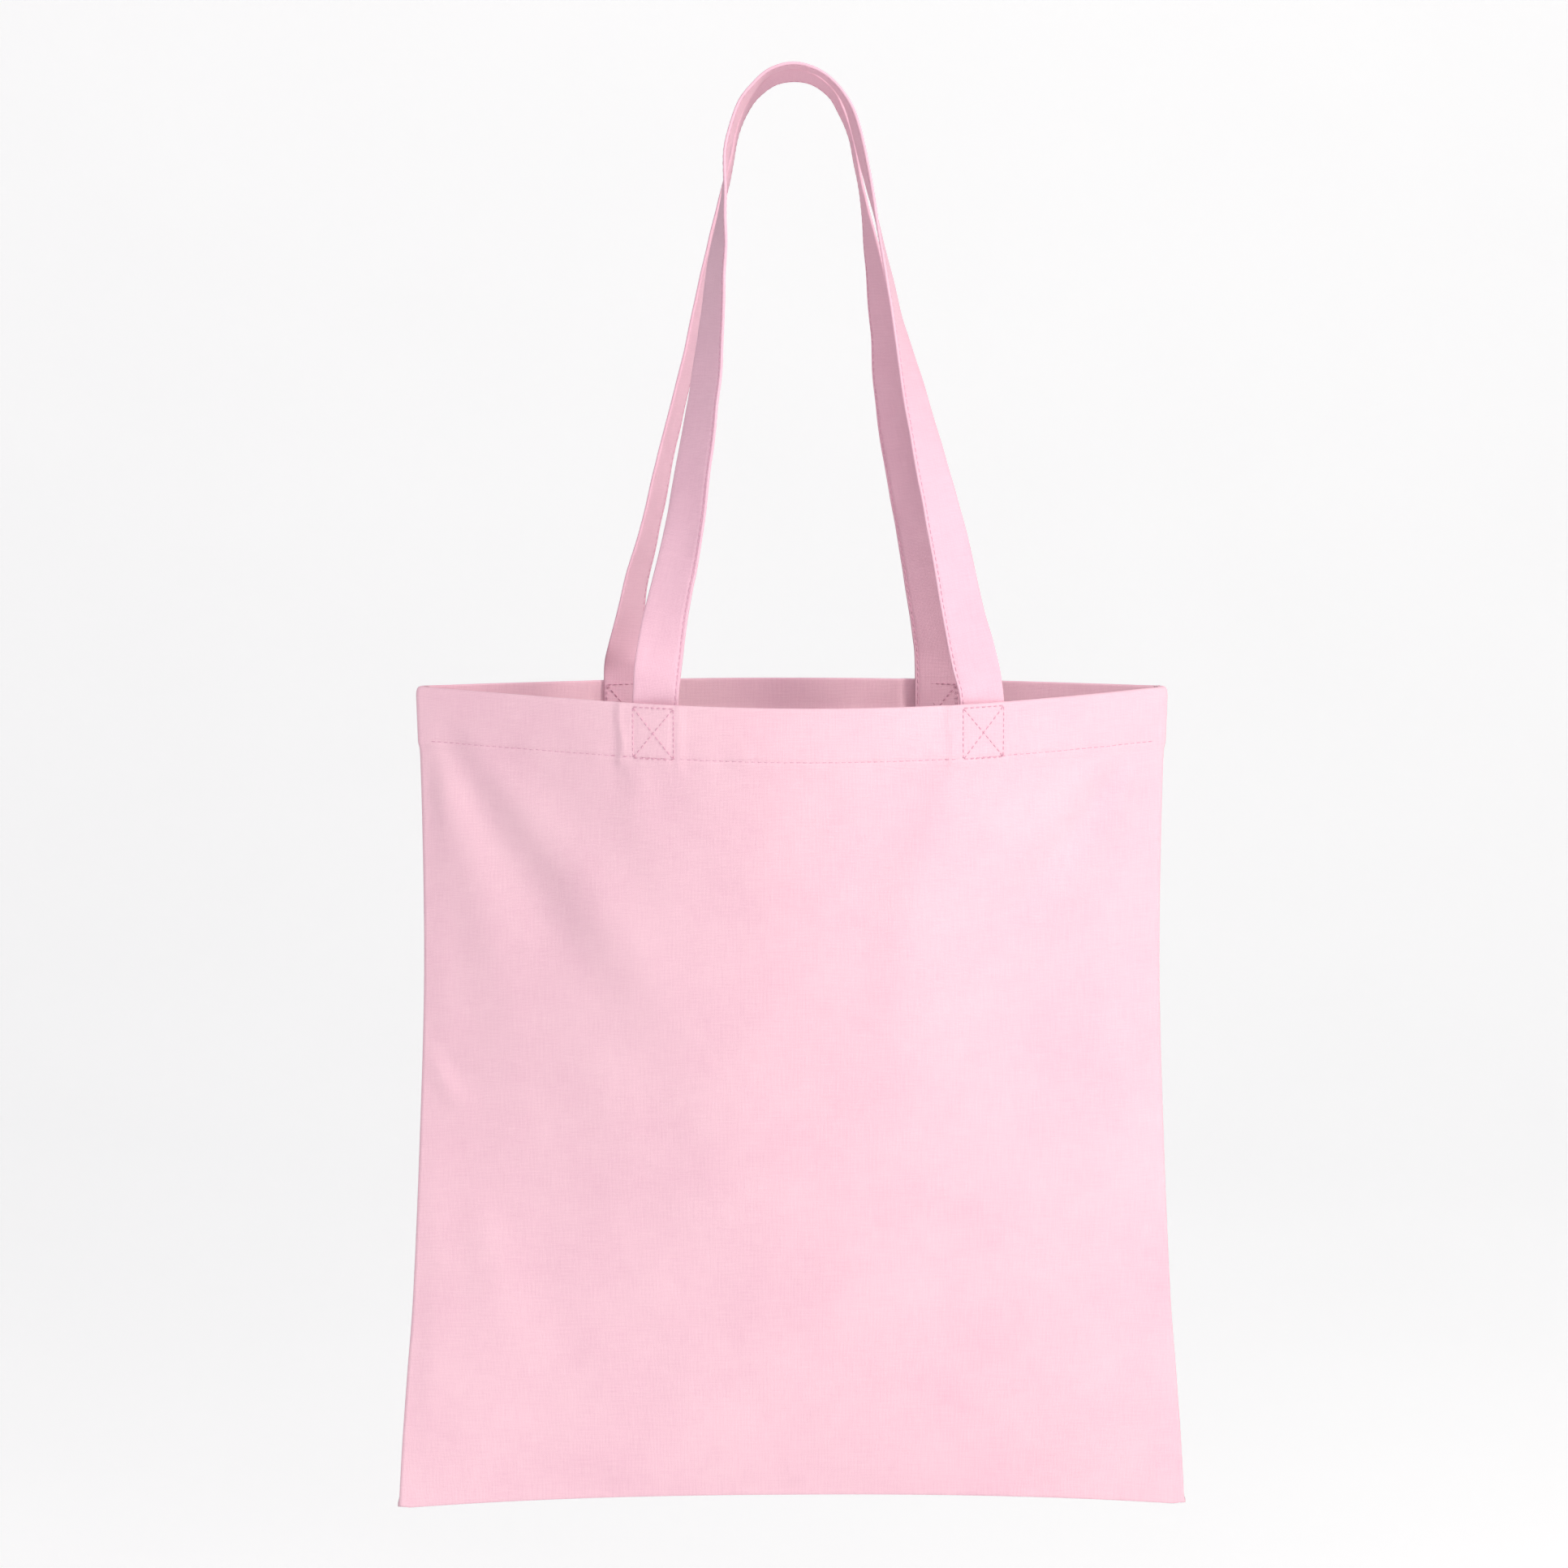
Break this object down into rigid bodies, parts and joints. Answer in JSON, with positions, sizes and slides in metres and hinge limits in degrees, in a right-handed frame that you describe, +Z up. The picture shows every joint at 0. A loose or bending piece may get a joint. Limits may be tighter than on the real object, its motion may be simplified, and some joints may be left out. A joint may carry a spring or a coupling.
{
  "type": "canvas tote bag",
  "caption": "Flat cotton canvas tote bag hanging by two strap handles from one bearing point, with a hemmed open mouth, box-and-cross stitched handle ends and plain side and bottom seams",
  "frame": {"origin": "where the two handle loops bear on a hook, on their undersides at the top and midway between the two straps", "axes": "+Z up; the front panel faces -Y; +X is to the right of someone who looks at the front"},
  "size_m": [0.38, 0.1008, 0.6899],
  "materials": {
    "canvas_body": "matte plain-weave cotton canvas, dyed pale pink",
    "strap_canvas": "the same canvas, folded lengthwise into a flat strap",
    "seam_allowance": "overlocked raw canvas edge, inside the bag",
    "sewing_thread": "matte polyester sewing thread, matched to the cloth"
  },
  "bodies": {
    "back": {"back_panel": "canvas_body", "back_hem": "canvas_body", "back_hem_stitching": "sewing_thread", "left_side_seam": "seam_allowance", "right_side_seam": "seam_allowance", "bottom_seam": "seam_allowance", "back_left_handle_end": "strap_canvas", "back_right_handle_end": "strap_canvas", "back_left_box_stitching": "sewing_thread", "back_right_box_stitching": "sewing_thread"},
    "front": {"front_panel": "canvas_body", "front_hem": "canvas_body", "front_hem_stitching": "sewing_thread", "front_left_handle_end": "strap_canvas", "front_right_handle_end": "strap_canvas", "front_left_box_stitching": "sewing_thread", "front_right_box_stitching": "sewing_thread"},
    "front_loop": {"front_handle": "strap_canvas", "front_handle_stitching": "sewing_thread"},
    "back_loop": {"back_handle": "strap_canvas", "back_handle_stitching": "sewing_thread"}
  },
  "joints": [
    {"name": "mouth_open", "type": "hinge", "parent": "back", "child": "front", "pos_m": [0, -0.008, -0.688], "axis": [1, 0, 0], "range_deg": [0, 8], "stiffness_Nm_per_rad": 3, "springref_deg": -1.72},
    {"name": "front_handle_flop", "type": "hinge", "parent": "front", "child": "front_loop", "pos_m": [-0.063, -0.06589, -0.284], "axis": [0.999, 0.0439, 0], "range_deg": [0, 160]},
    {"name": "back_handle_flop", "type": "hinge", "parent": "back", "child": "back_loop", "pos_m": [0.0696, 0.0239, -0.284], "axis": [-1, -0.0096, 0], "range_deg": [0, 160]}
  ]
}
